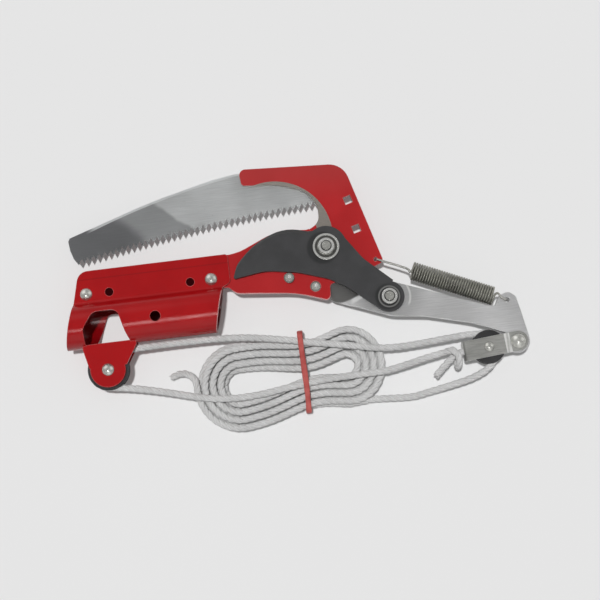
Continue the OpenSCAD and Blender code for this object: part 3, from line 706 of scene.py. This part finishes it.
def hank_point(u, shift=(0, 0)):
    """A point u loops along the hank, in mm: in on the lower layer and out on the upper one."""
    k = u if u < HANK_TURNS / 2 else HANK_TURNS - u
    x, y = stadium(u - math.floor(u), HANK_R - LOOP_PITCH * k)
    pull = HANK_WAIST * math.exp(-(((x - WAIST_X) / WAIST_REACH) ** 2)) * min(1, abs(y) / WAIST_SOFT)
    y += -pull if y > 0 else pull
    f = min(1, max(0, (u - CLIMB_MID) / (RUN_SHARE * CLIMB_SHARE) + 0.5))
    z = HANK_LOW + LAYER * (1 - math.cos(math.pi * f)) / 2
    x, y = x + shift[0], y + shift[1]
    c, s = math.cos(HANK_TURN), math.sin(HANK_TURN)
    return [HANK_AT[0] + x * c - y * s, HANK_AT[1] + x * s + y * c, z]


def arc(at, r, angles, z):
    """Points on an arc round an axle, in mm."""
    turns = [math.radians(a) for a in angles]
    return [[at[0] / MM + r * math.cos(a), at[1] / MM + r * math.sin(a), z] for a in turns]


ALONG = np.array([math.cos(HANK_TURN), math.sin(HANK_TURN), 0])
UPRIGHT = np.array([-math.sin(HANK_TURN), math.cos(HANK_TURN), 0])
hank_in = np.array(hank_point(0, (HANK_LEAD, 0)))
hank_out = np.array(hank_point(HANK_TURNS, (0, HANK_LEAD)))
turns = [hank_point(HANK_TURNS * i / HANK_STEPS) for i in range(HANK_STEPS + 1)]
hank = [hank_in, *turns, hank_out]
UPPER_SPLIT = [154, -28, OVER]
LOWER_SPLIT = [154, -57, OVER]
socket_bight = [
    UPPER_SPLIT,
    [148, -26.6, OVER],
    [136, -24.2, OVER],
    [120, -21.4, OVER],
    [104, -19.8, OVER],
    [88, -19.2, OVER],
    [74, -19, -0.4],
    [60, -19, -0.2],
    [46, -19.2, 0],
    [36, -19.3, 0],
    [28, -19.4, 0],
    *arc(SOCKET_AXLE, 12.05, range(96, 265, 21), 0),
    [28, -44.4, 0],
    [38, -46.2, 0],
    [52, -49.4, -0.2],
    [64, -52.6, -0.4],
    [76, -56, OVER],
    [90, -59.4, OVER],
    [106, -61, OVER],
    [124, -60.4, OVER],
    [138, -58.6, OVER],
    [148, -57.6, OVER],
    LOWER_SPLIT,
]
block_bight = [
    UPPER_SPLIT,
    [160, -29.4, OVER],
    [168, -31, OVER],
    [180, -33.4, OVER],
    [192, -36, OVER],
    [204, -38.6, OVER],
    [218, -39.8, OVER],
    [234, -39.4, 0],
    [250, -38.4, 0.6],
    [264, -37.6, 0.8],
    [273, -37.8, 0.8],
    *arc(BLOCK_AXLE, 9.55, range(96, -73, -24), 0.8),
    [281.6, -58.6, 0.8],
    [276, -63, 0],
    [266, -67, -1.6],
    [252, -70, -4],
    [238, -72.4, -7],
    [224, -74.4, -9.8],
    hank_in + 12 * ALONG,
    hank_in + 6 * ALONG,
    hank_in,
]
becket_run = [
    LOWER_SPLIT,
    [160, -56.4, OVER],
    [168, -55.8, OVER],
    [180, -55.4, OVER],
    [194, -55.2, OVER],
    [208, -55, OVER],
    [222, -52.8, 0.6],
    [236, -49.9, 0.8],
    [242, -48.9, 0.8],
    [248, -47.9, 0.8],
]
knot = [
    [248, -47.9, 0.8],
    [249.8, -47.6, 0.8],
    [252.4, -47, 2.6],
    [255.4, -46.9, 5.2],
    [258.9, -51.4, 4.8],
    [258.6, -57, 2.4],
    [258.2, -57.6, -1.8],
    [258.2, -53.4, -4.6],
    [259, -49.4, -2.6],
    [262, -48.75, 0.4],
    [264.6, -48.6, 0.8],
    [266.2, -48.5, 0.8],
]
bitter = [[256.6, -50.6, -0.8], [251, -55, -0.2], [246.8, -58.6, 0.2], [242.4, -62.6, 0.4]]
tail_bend = [
    [-1.4, 5.2, -0.4],
    [-3.4, 7.6, -1.2],
    [-6.2, 9.3, -2.6],
    [-9.8, 10, -4.4],
    [-13.4, 9.4, -6.2],
    [-17, 7.8, -6.9],
]
tail = [hank_out, hank_out + 2.5 * UPRIGHT, *(hank_out + np.array(p) for p in tail_bend)]


def run_along(line):
    """The length of a line up to each of its points."""
    return np.concatenate([[0], np.cumsum(np.linalg.norm(np.diff(line, axis=0), axis=1))])


def spline(a, b, c, d, f):
    """Points on a smooth curve from b to c, at the shares f of the way."""
    bent = 2 * b + (c - a) * f + (2 * a - 5 * b + 4 * c - d) * f**2
    return 0.5 * (bent + (3 * b - a - 3 * c + d) * f**3)


def curve_through(points, inner=10):
    """A smooth curve through points in mm, then spaced evenly, in metres."""
    p = np.array([list(q) for q in points], float) * MM
    ends = np.vstack([2 * p[0] - p[1], p, 2 * p[-1] - p[-2]])
    f = np.linspace(0, 1, inner, endpoint=False)[:, None]
    spans = [spline(*ends[i - 1 : i + 3], f) for i in range(1, len(ends) - 2)]
    line = np.vstack([*spans, p[-1:]])
    done = run_along(line)
    at = np.linspace(0, done[-1], max(3, int(round(done[-1] / STEP)) + 1))
    return np.stack([np.interp(at, done, line[:, k]) for k in range(3)], axis=1)


def frames_along(line):
    """Directions along a line, and two square to it that don't twist about it."""
    ahead = np.gradient(line, axis=0)
    ahead /= np.linalg.norm(ahead, axis=1)[:, None]
    side = np.zeros_like(line)
    first = np.cross(ahead[0], (0, 0, 1) if abs(ahead[0][2]) < 0.9 else (1, 0, 0))
    side[0] = first / np.linalg.norm(first)
    for i in range(1, len(line)):
        n = side[i - 1] - (side[i - 1] @ ahead[i]) * ahead[i]
        side[i] = n / np.linalg.norm(n)
    return ahead, side, np.cross(ahead, side)


def joined(name, verts, faces, coords):
    """A smooth mesh object with flat end caps, and a UV layer with a pair for each vertex."""
    mesh = bpy.data.meshes.new(name)
    mesh.from_pydata(verts.tolist(), [], faces)
    uv = mesh.uv_layers.new(name="lay")
    order = np.zeros(len(mesh.loops), np.int32)
    mesh.loops.foreach_get("vertex_index", order)
    uv.data.foreach_set("uv", np.asarray(coords, np.float32)[order].ravel())
    mesh.polygons.foreach_set("use_smooth", [len(face) <= 4 for face in faces])
    obj = bpy.data.objects.new(name, mesh)
    scene.collection.objects.link(obj)
    return obj


def grid(first, second):
    """Each pair of a value from the first row and one from the second."""
    return np.stack(np.broadcast_arrays(first[:, None], second[None, :]), axis=2).reshape(-1, 2)


def quads(a, b, sides):
    """Faces between two rings whose points start at a and b."""
    return [[a + j, a + (j + 1) % sides, b + (j + 1) % sides, b + j] for j in range(sides)]


def skin(rings, sides, offset):
    """Quads between rings, with a cap at each end."""
    faces = []
    for i in range(rings - 1):
        faces += quads(offset + i * sides, offset + (i + 1) * sides, sides)
    last = offset + (rings - 1) * sides
    return [*faces, [offset + j for j in reversed(range(sides))], [last + j for j in range(sides)]]


def strands(line, side, up, along):
    """Rings of points on the three strands that are laid round a line."""
    around = np.arange(STRAND_SIDES) * 2 * math.pi / STRAND_SIDES
    rings = []
    for k in range(3):
        a = 2 * math.pi * (along / LAY + k / 3)
        out = np.cos(a)[:, None] * side + np.sin(a)[:, None] * up
        middle = line + HELIX_R * out
        way = np.gradient(middle, along, axis=0)
        way /= np.linalg.norm(way, axis=1)[:, None]
        flank = np.cross(way, out)
        rings.append(
            middle[:, None, :]
            - STRAND_R * np.cos(around)[None, :, None] * out[:, None, :]
            - FLANK * STRAND_R * np.sin(around)[None, :, None] * flank[:, None, :]
        )
    return rings


def rope_piece(name, rings, along, *replaced):
    """A stretch of rope from the rings of its strands, in place of these solids."""
    pairs = grid(along, np.arange(STRAND_SIDES) / STRAND_SIDES)
    faces = []
    for k in range(3):
        faces += skin(len(along), STRAND_SIDES, k * len(pairs))
    verts = np.vstack([ring.reshape(-1, 3) for ring in rings])
    obj = joined(name, verts, faces, np.vstack([pairs] * 3))
    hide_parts(*replaced)
    dress(obj, "rope")
    return obj


def crossings(line, x):
    """The first point of a line past each place where it crosses a plane of constant x."""
    past = line[:, 0] > x
    return [int(i) + 1 for i in np.flatnonzero(past[1:] != past[:-1])]


def tightened(line, places):
    """A line with more points close by its ends and these points of it, and where these then are."""
    points, found = [], []
    last = len(line) - 1
    for i, point in enumerate(line):
        close = i in (0, last, *places)
        if close and i > 0:
            points.append(point + (line[i - 1] - point) * SEAM / np.linalg.norm(line[i - 1] - point))
        if i in places:
            found.append(len(points))
        points.append(point)
        if close and i < last:
            points.append(point + (line[i + 1] - point) * SEAM / np.linalg.norm(line[i + 1] - point))
    return points, found


route = [
    ("knot", curve_through(knot)[::-1]),
    ("becket", curve_through(becket_run)[::-1]),
    ("socket", curve_through(socket_bight)[::-1]),
    ("block", curve_through(block_bight)),
    ("hank", curve_through(hank, 2)),
    ("tail", curve_through(tail)),
]
whole, spans, cuts = [], {}, {}
for name, line in route:
    places = crossings(line, SPLIT_X[name]) if name in SPLIT_X else []
    points, found = tightened(line, places)
    first = max(len(whole) - 1, 0)
    whole += points[1:] if whole else points
    spans[name] = (first, len(whole))
    cuts[name] = [first + i for i in found]
whole = np.array(whole)
rope_along = run_along(whole)
rope_rings = strands(whole, *frames_along(whole)[1:], rope_along)


def laid_rope(name, begin, end, *replaced):
    """The stretch of rope between two places in the whole line, and that part of the line."""
    cut = slice(begin, end)
    piece = rope_piece(name, [ring[cut] for ring in rope_rings], rope_along[cut], *replaced)
    return piece, whole[cut]


# The block turns on the lever, and the lever on the frame: each run to the block is cut between them
going, coming = cuts["block"]
(mid_becket,) = cuts["becket"]
wound, wound_line = laid_rope(
    "twisted_hank", spans["hank"][0], spans["tail"][1], "rope_hank", "rope_tail"
)
looped, looped_line = laid_rope("twisted_socket_bight", *spans["socket"], "rope_socket_bight")
upper, upper_line = laid_rope("twisted_upper_run", spans["block"][0], going + 1, "rope_block_bight")
hauled, hauled_line = laid_rope("twisted_block_bight", going, coming + 1, "rope_block_bight")
lower, lower_line = laid_rope("twisted_lower_run", coming, spans["block"][1], "rope_block_bight")
becket, becket_line = laid_rope(
    "twisted_becket_end", spans["becket"][0], mid_becket + 1, "rope_becket_run"
)
middle, middle_line = laid_rope(
    "twisted_becket_run", mid_becket, spans["becket"][1], "rope_becket_run"
)
hitch, _ = laid_rope("twisted_knot", *spans["knot"], "rope_knot")
# The cut end by the knot, with its strands turned a little further on
BITTER_START = 4 * MM
bitter_line = curve_through(bitter)
bitter_along = run_along(bitter_line) + BITTER_START
bitter_rings = strands(bitter_line, *frames_along(bitter_line)[1:], bitter_along)
bitter_end = rope_piece("twisted_bitter_end", bitter_rings, bitter_along, "rope_bitter_end")

for piece in (wound, looped):
    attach(piece, "frame")
for piece in (hitch, bitter_end):
    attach(piece, "block")
for piece, first, second, begin, end in (
    (upper, "frame", "cutter", 0.18, SPLIT_X["block"] - 0.001),
    (lower, "frame", "cutter", 0.18, SPLIT_X["block"] - 0.001),
    (hauled, "cutter", "block", SPLIT_X["block"] + 0.001, 0.267),
    (middle, "frame", "cutter", 0.17, SPLIT_X["becket"] - 0.001),
    (becket, "cutter", "block", SPLIT_X["becket"] + 0.001, 0.247),
):
    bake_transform(piece)


# Return spring: one wire, straight at its two hooks
WIRE_R = 0.8 * MM
COIL_R = 5.7 * MM
COIL_TURNS = 33
spring_way = Vector(SPRING_EAR) - Vector(SPRING_FOOT)
SPAN = spring_way.length / MM
spring_way.normalize()


def on_spring(s, side, up):
    """A point s along the spring in mm, to one side of its line and up from the pole's axis."""
    x = SPRING_FOOT[0] + (s * spring_way.x - side * spring_way.y) * MM
    y = SPRING_FOOT[1] + (s * spring_way.y + side * spring_way.x) * MM
    return [x / MM, y / MM, up]


# The coil's ends along the spring, and the heights of its middle and of the hooks' straight wire, in mm
COIL_FROM, COIL_TO, COIL_MID, COIL_OVER = 26.0, 84.0, 0.4, 4.0
PER_TURN = 20
coil = [
    on_spring(
        COIL_FROM + (COIL_TO - COIL_FROM) * i / (COIL_TURNS * PER_TURN),
        COIL_R / MM * math.sin(2 * math.pi * i / PER_TURN),
        COIL_MID + COIL_R / MM * math.cos(2 * math.pi * i / PER_TURN),
    )
    for i in range(COIL_TURNS * PER_TURN + 1)
]
spring_points = [
    on_spring(0, 0, -4.1),
    on_spring(0, 0, -2.5),
    on_spring(0, 0, 1.5),
    on_spring(0.6, 0, COIL_OVER - 0.9),
    on_spring(2.2, 0, COIL_OVER),
    on_spring(4, 0, COIL_OVER),
    on_spring(22, 0, COIL_OVER + 0.4),
    on_spring(24.4, -2, COIL_MID + 5.1),
    *coil,
    on_spring(COIL_TO + 1.8, 2.4, COIL_OVER + 0.6),
    on_spring(SPAN - 4, 0.4, COIL_OVER),
    on_spring(SPAN - 2.2, 0, COIL_OVER),
    on_spring(SPAN - 0.6, 0, COIL_OVER - 0.9),
    on_spring(SPAN, 0, 1.8),
    on_spring(SPAN, 0, -1.2),
    on_spring(SPAN, 0, -2.8),
]


def wire(name, line, r, sides=10):
    """A round wire along a line."""
    _, side, up = frames_along(line)
    around = np.arange(sides) * 2 * math.pi / sides
    ring = line[:, None, :] + r * (
        np.cos(around)[None, :, None] * side[:, None, :] + np.sin(around)[None, :, None] * up[:, None, :]
    )
    pairs = grid(run_along(line), around / (2 * math.pi))
    return joined(name, ring.reshape(-1, 3), skin(len(line), sides, 0), pairs)


spring = wire("coil_spring", curve_through(spring_points, 3), WIRE_R)
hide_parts("return_spring")
dress(spring, "spring_wire")
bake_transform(spring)


# Rubber tie: a flat stretched band round the waist of the hank
TIE_X = 154 * MM
TIE_W = 4 * MM
TIE_T = 1.2 * MM
# Points for each point of the loop, sides of the section, and how square it is across and through
TIE_INNER, TIE_SIDES = 6, 12
TIE_SQUARE = (0.5, 0.7)
# The band's middle line, as y and z in mm
tie_loop = np.array(
    [
        [-72.4, -14.9],
        [-66, -14.9],
        [-58, -14.9],
        [-48, -14.9],
        [-38, -14.9],
        [-30, -14.9],
        [-24.4, -14.9],
        [-21.4, -13],
        [-21, -9],
        [-21, -5],
        [-21.4, -1],
        [-23.6, 2.3],
        [-28, 2.8],
        [-36, 2.8],
        [-46, 2.8],
        [-56, 2.8],
        [-61, 2.2],
        [-68, -0.8],
        [-74.8, -4],
        [-76.5, -7],
        [-76.5, -12],
        [-75.5, -14.4],
    ]
)


def squared(wave, power):
    """A wave with fuller shoulders."""
    return np.sign(wave) * np.abs(wave) ** power


def band(name):
    """A closed band with rounded edges, slightly uneven in width."""
    n = len(tie_loop)
    f = np.linspace(0, 1, TIE_INNER, endpoint=False)[:, None]
    spans = [spline(*(tie_loop[(i + k) % n] for k in (-1, 0, 1, 2)), f) for i in range(n)]
    line = np.vstack(spans) * MM
    way = np.roll(line, -1, axis=0) - np.roll(line, 1, axis=0)
    way /= np.linalg.norm(way, axis=1)[:, None]
    out = np.stack([way[:, 1], -way[:, 0]], axis=1)
    around = np.arange(TIE_SIDES) * 2 * math.pi / TIE_SIDES
    flat = squared(np.cos(around), TIE_SQUARE[0])
    thick = squared(np.sin(around), TIE_SQUARE[1])
    count = len(line)
    t = np.arange(count) / count * 2 * math.pi
    half = (TIE_W / 2) * (0.94 + 0.05 * np.sin(5 * t) + 0.03 * np.sin(11 * t + 1))
    drift = 0.25 * MM * np.sin(3 * t + 0.7)
    verts = np.zeros((count, TIE_SIDES, 3))
    verts[:, :, 0] = TIE_X + drift[:, None] + half[:, None] * flat[None, :]
    for k in (0, 1):
        verts[:, :, k + 1] = line[:, None, k] + (TIE_T / 2) * thick[None, :] * out[:, None, k]
    faces = []
    for i in range(count):
        faces += quads(i * TIE_SIDES, ((i + 1) % count) * TIE_SIDES, TIE_SIDES)
    return joined(name, verts.reshape(-1, 3), faces, grid(t, around))


tie = band("rubber_tie")
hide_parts("hank_tie")
dress(tie, "tie_rubber")
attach(tie, "frame")


# Table: half its width, how far it lies below the part, and the share of its even tone
TABLE_HALF = 4.0
TABLE_GAP = 0.2 * MM
EVEN_SHARE = 0.1


def table_top():
    """A pale table that takes the shadow, with a small share of an even tone where it is seen."""
    made, tree, shader, where = start("table")
    cloud = noise(tree, where, 3.0, 2.0)
    pale = mix(tree, cloud, tone(232, 232, 232), tone(234, 234, 234))
    tree.links.new(pale, shader.inputs["Base Color"])
    shader.inputs["Roughness"].default_value = 0.9
    shader.inputs["Specular IOR Level"].default_value = 0.0
    even = put(tree, "ShaderNodeEmission", {"Color": pale, "Strength": 1.0})
    path = put(tree, "ShaderNodeLightPath")
    seen = math_node(tree, "MAXIMUM", path.outputs["Is Camera Ray"], path.outputs["Is Glossy Ray"])
    seen = math_node(tree, "MAXIMUM", seen, path.outputs["Is Transmission Ray"])
    share = times(tree, seen, EVEN_SHARE)
    both = put(tree, "ShaderNodeMixShader", {0: share, 1: shader.outputs[0], 2: even.outputs[0]})
    out = next(n for n in tree.nodes if n.type == "OUTPUT_MATERIAL")
    tree.links.new(both.outputs[0], out.inputs["Surface"])
    mesh = bpy.data.meshes.new("table")
    corners = [(x * TABLE_HALF, y * TABLE_HALF, 0) for x, y in ((-1, -1), (1, -1), (1, 1), (-1, 1))]
    mesh.from_pydata(corners, [], [(0, 1, 2, 3)])
    obj = bpy.data.objects.new("table", mesh)
    obj.location.z = TABLE - TABLE_GAP
    mesh.materials.append(made)
    scene.collection.objects.link(obj)


table_top()

# Light: softboxes that metal mirrors, each with a direction, the cosines where it is full and where it
# ends, and a level; the sky that metal mirrors between them, the sky for the rest, and the backdrop
SOFTBOXES = (
    ((-0.6, 0.75, 0.6), 0.95, 0.86, 1.25),
    ((0.85, 0.3, 0.5), 0.96, 0.89, 1.0),
    ((0.1, -0.9, 0.55), 0.95, 0.88, 0.95),
    ((-0.065, -0.36, 0.93), 0.9975, 0.989, 8.0),
)
MIRRORED_SKY = (0.45, 0.45, 0.45, 1)
SOFT_SKY = (0.2, 0.2, 0.2, 1)
BACKDROP = tone(229, 229, 229)
SUN_FROM = Vector((-0.09, 0.08, 1))
SUN_LEVEL = 2.4
SUN_WIDTH = math.radians(3)
world = bpy.data.worlds.new("studio")
world.use_nodes = True
scene.world = world
tree = world.node_tree
tree.nodes.clear()
direction = put(tree, "ShaderNodeTexCoord").outputs["Generated"]
light = MIRRORED_SKY
for toward, inner, outer, level in SOFTBOXES:
    lit = Vector(toward).normalized()
    dot = put(tree, "ShaderNodeVectorMath", {0: direction, 1: lit}, operation="DOT_PRODUCT")
    light = mix(tree, ramp(tree, dot.outputs["Value"], outer, inner), light, (level, level, level, 1))
path = put(tree, "ShaderNodeLightPath")
light = mix(tree, path.outputs["Is Glossy Ray"], SOFT_SKY, light)
light = mix(tree, path.outputs["Is Camera Ray"], light, BACKDROP)
shine = put(tree, "ShaderNodeBackground", {"Color": light, "Strength": 1.0})
done = put(tree, "ShaderNodeOutputWorld")
tree.links.new(shine.outputs[0], done.inputs["Surface"])

sun = bpy.data.objects.new("sun", bpy.data.lights.new("sun", "SUN"))
sun.data.energy = SUN_LEVEL
sun.data.angle = SUN_WIDTH
sun.visible_glossy = False
sun.rotation_euler = SUN_FROM.to_track_quat("Z", "Y").to_euler()
scene.collection.objects.link(sun)
